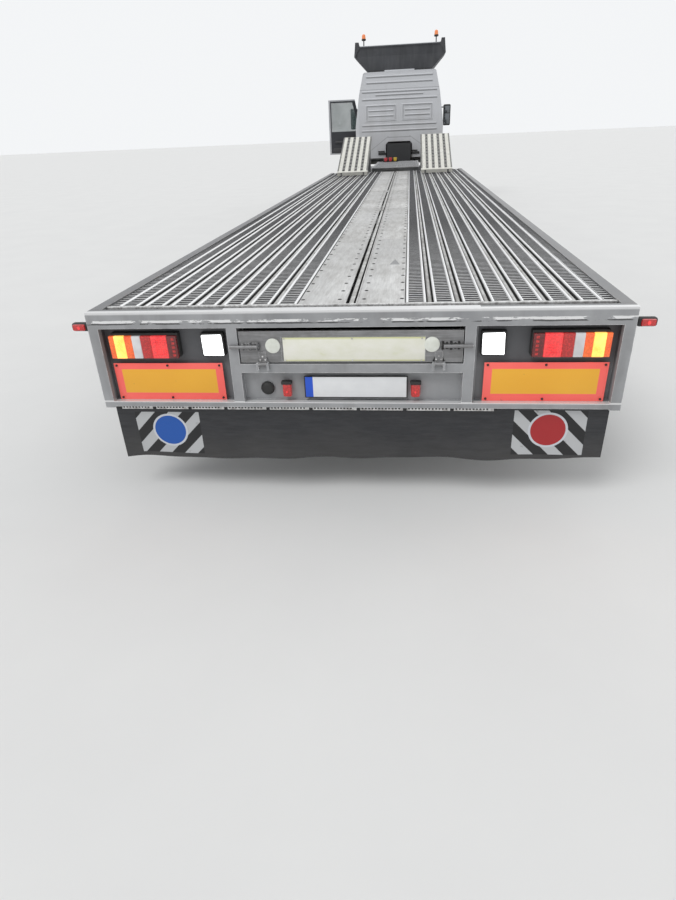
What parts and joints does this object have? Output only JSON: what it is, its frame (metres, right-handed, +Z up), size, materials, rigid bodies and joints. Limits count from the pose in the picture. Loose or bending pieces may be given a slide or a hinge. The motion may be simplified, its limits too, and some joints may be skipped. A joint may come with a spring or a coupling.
{
  "type": "car transporter truck",
  "caption": "Car transporter lorry: cab-over sleeper tractor hinged to a low flat semi-trailer with a ridged plank deck, wheel ramps at its front and a lit rear frame.",
  "frame": {"origin": "on the ground, under the middle of the bounding box, with the left door open", "axes": "+X to the right of the vehicle, +Y forward along it, +Z up; the trailer centreline is at x = 0.2805 m"},
  "size_m": [3.321, 16.521, 3.77],
  "materials": {
    "aluminium_deck": "bare extruded aluminium, scuffed, with tyre marks",
    "galvanised_frame": "grey paint on steel, chipped at the edges",
    "dark_rail": "dark grey paint, road film",
    "chassis_grey": "dark chassis paint, dusty",
    "lamps": "red, amber and clear lenses",
    "plates": "yellow and red reflective plates, and a blank white plate",
    "rubber": "black rubber sheet",
    "tyre": "dusty black rubber",
    "rim": "silver paint, brake dust",
    "ramp": "cream-white worn ribs over dark grey",
    "tank": "satin metal look",
    "black_plastic": "moulded plastic, grained",
    "engine": "dark, oily",
    "cab_paint": "silver-grey metallic paint",
    "glass": "tinted green",
    "trim_fabric": "dark grey weave",
    "deflector": "dark grey moulded plastic",
    "beacon": "amber lens on a black foot",
    "head_lamp": "clear lens"
  },
  "bodies": {
    "trailer": {"trailer_chassis": "chassis_grey", "cross_members": "chassis_grey", "neck": "galvanised_frame", "side_rails": "dark_rail", "deck_planks": "aluminium_deck", "rear_frame": "galvanised_frame", "ramp_store": "dark_rail", "rear_lamps": "lamps", "rear_plates": "plates", "rubber_flap": "rubber", "trailer_axles": "chassis_grey", "trailer_mudguards": "black_plastic", "parking_legs": "dark_rail", "side_guards": "galvanised_frame", "ramp_stands": "dark_rail"},
    "hatch": {"hatch": "galvanised_frame"},
    "ramp_left": {"ramp_left": "ramp"},
    "ramp_right": {"ramp_right": "ramp"},
    "tractor": {"tractor_chassis": "chassis_grey", "coupling_plate": "chassis_grey", "tractor_axles": "chassis_grey", "fuel_tank": "tank", "chassis_boxes": "black_plastic", "tractor_mudguards": "black_plastic", "engine": "engine", "bumper": "black_plastic", "head_lamps": "head_lamp"},
    "cab": {"cab_rear_wall": "cab_paint", "cab_sides": "cab_paint", "cab_front": "cab_paint", "cab_roof": "cab_paint", "cab_floor": "cab_paint", "windscreen": "glass", "seats_and_bunk": "trim_fabric", "dashboard": "black_plastic", "mirrors": "black_plastic", "deflector": "deflector", "beacons": "beacon"},
    "wheel_rear_left": {"tyre_rear_left": "tyre", "rim_rear_left": "rim"},
    "wheel_rear_right": {"tyre_rear_right": "tyre", "rim_rear_right": "rim"},
    "wheel_front_left": {"tyre_front_left": "tyre", "rim_front_left": "rim"},
    "wheel_front_right": {"tyre_front_right": "tyre", "rim_front_right": "rim"},
    "knuckle_left": {"knuckle_left": "chassis_grey"},
    "steer_wheel_left": {"steer_tyre_left": "tyre", "steer_rim_left": "rim"},
    "drive_wheel_left": {"drive_tyres_left": "tyre", "drive_rims_left": "rim"},
    "knuckle_right": {"knuckle_right": "chassis_grey"},
    "steer_wheel_right": {"steer_tyre_right": "tyre", "steer_rim_right": "rim"},
    "drive_wheel_right": {"drive_tyres_right": "tyre", "drive_rims_right": "rim"},
    "door_left": {"door_left": "cab_paint", "door_glass_left": "glass"},
    "door_right": {"door_right": "cab_paint", "door_glass_right": "glass"}
  },
  "joints": [
    {"name": "wheel_rear_left_spin", "type": "hinge", "parent": "trailer", "child": "wheel_rear_left", "pos_m": [-0.84703, -4.8895, 0.3985], "axis": [1, 0, 0], "continuous": true},
    {"name": "wheel_rear_right_spin", "type": "hinge", "parent": "trailer", "child": "wheel_rear_right", "pos_m": [1.40797, -4.8895, 0.3985], "axis": [1, 0, 0], "continuous": true},
    {"name": "wheel_front_left_spin", "type": "hinge", "parent": "trailer", "child": "wheel_front_left", "pos_m": [-0.84703, -3.5795, 0.3985], "axis": [1, 0, 0], "continuous": true},
    {"name": "wheel_front_right_spin", "type": "hinge", "parent": "trailer", "child": "wheel_front_right", "pos_m": [1.40797, -3.5795, 0.3985], "axis": [1, 0, 0], "continuous": true},
    {"name": "hatch_hinge", "type": "hinge", "parent": "trailer", "child": "hatch", "pos_m": [0.28047, -8.2515, 0.743], "axis": [1, 0, 0], "range_deg": [0, 150]},
    {"name": "ramp_left_hinge", "type": "hinge", "parent": "trailer", "child": "ramp_left", "pos_m": [-0.47453, 0.9905, 1.048], "axis": [1, 0, 0], "range_deg": [0, 70]},
    {"name": "ramp_right_hinge", "type": "hinge", "parent": "trailer", "child": "ramp_right", "pos_m": [1.03547, 0.9905, 1.048], "axis": [1, 0, 0], "range_deg": [0, 70]},
    {"name": "coupling_turn", "type": "hinge", "parent": "trailer", "child": "tractor", "pos_m": [0.28047, 3.7605, 0.93], "axis": [0, 0, 1], "range_deg": [-85, 85]},
    {"name": "steering_left", "type": "hinge", "parent": "tractor", "child": "knuckle_left", "pos_m": [-0.58753, 6.8605, 0.4475], "axis": [0, 0, 1], "range_deg": [-38, 38]},
    {"name": "steer_wheel_left_spin", "type": "hinge", "parent": "knuckle_left", "child": "steer_wheel_left", "pos_m": [-0.76953, 6.8605, 0.4475], "axis": [1, 0, 0], "continuous": true},
    {"name": "drive_wheel_left_spin", "type": "hinge", "parent": "tractor", "child": "drive_wheel_left", "pos_m": [-0.79453, 3.2605, 0.4475], "axis": [1, 0, 0], "continuous": true},
    {"name": "steering_right", "type": "hinge", "parent": "tractor", "child": "knuckle_right", "pos_m": [1.14847, 6.8605, 0.4475], "axis": [0, 0, 1], "range_deg": [-38, 38]},
    {"name": "steer_wheel_right_spin", "type": "hinge", "parent": "knuckle_right", "child": "steer_wheel_right", "pos_m": [1.33047, 6.8605, 0.4475], "axis": [1, 0, 0], "continuous": true},
    {"name": "drive_wheel_right_spin", "type": "hinge", "parent": "tractor", "child": "drive_wheel_right", "pos_m": [1.35547, 3.2605, 0.4475], "axis": [1, 0, 0], "continuous": true},
    {"name": "cab_tilt", "type": "hinge", "parent": "tractor", "child": "cab", "pos_m": [0.28047, 8.1605, 0.83], "axis": [-1, 0, 0], "range_deg": [0, 55]},
    {"name": "door_left_hinge", "type": "hinge", "parent": "cab", "child": "door_left", "pos_m": [-0.82153, 7.8605, 1.15], "axis": [0, 0, -1], "range_deg": [-80, 0]},
    {"name": "door_right_hinge", "type": "hinge", "parent": "cab", "child": "door_right", "pos_m": [1.38247, 7.8605, 1.15], "axis": [0, 0, 1], "range_deg": [0, 80]}
  ],
  "couplings": [
    {"joint": "steering_right", "follows": "steering_left", "ratio": 1}
  ]
}
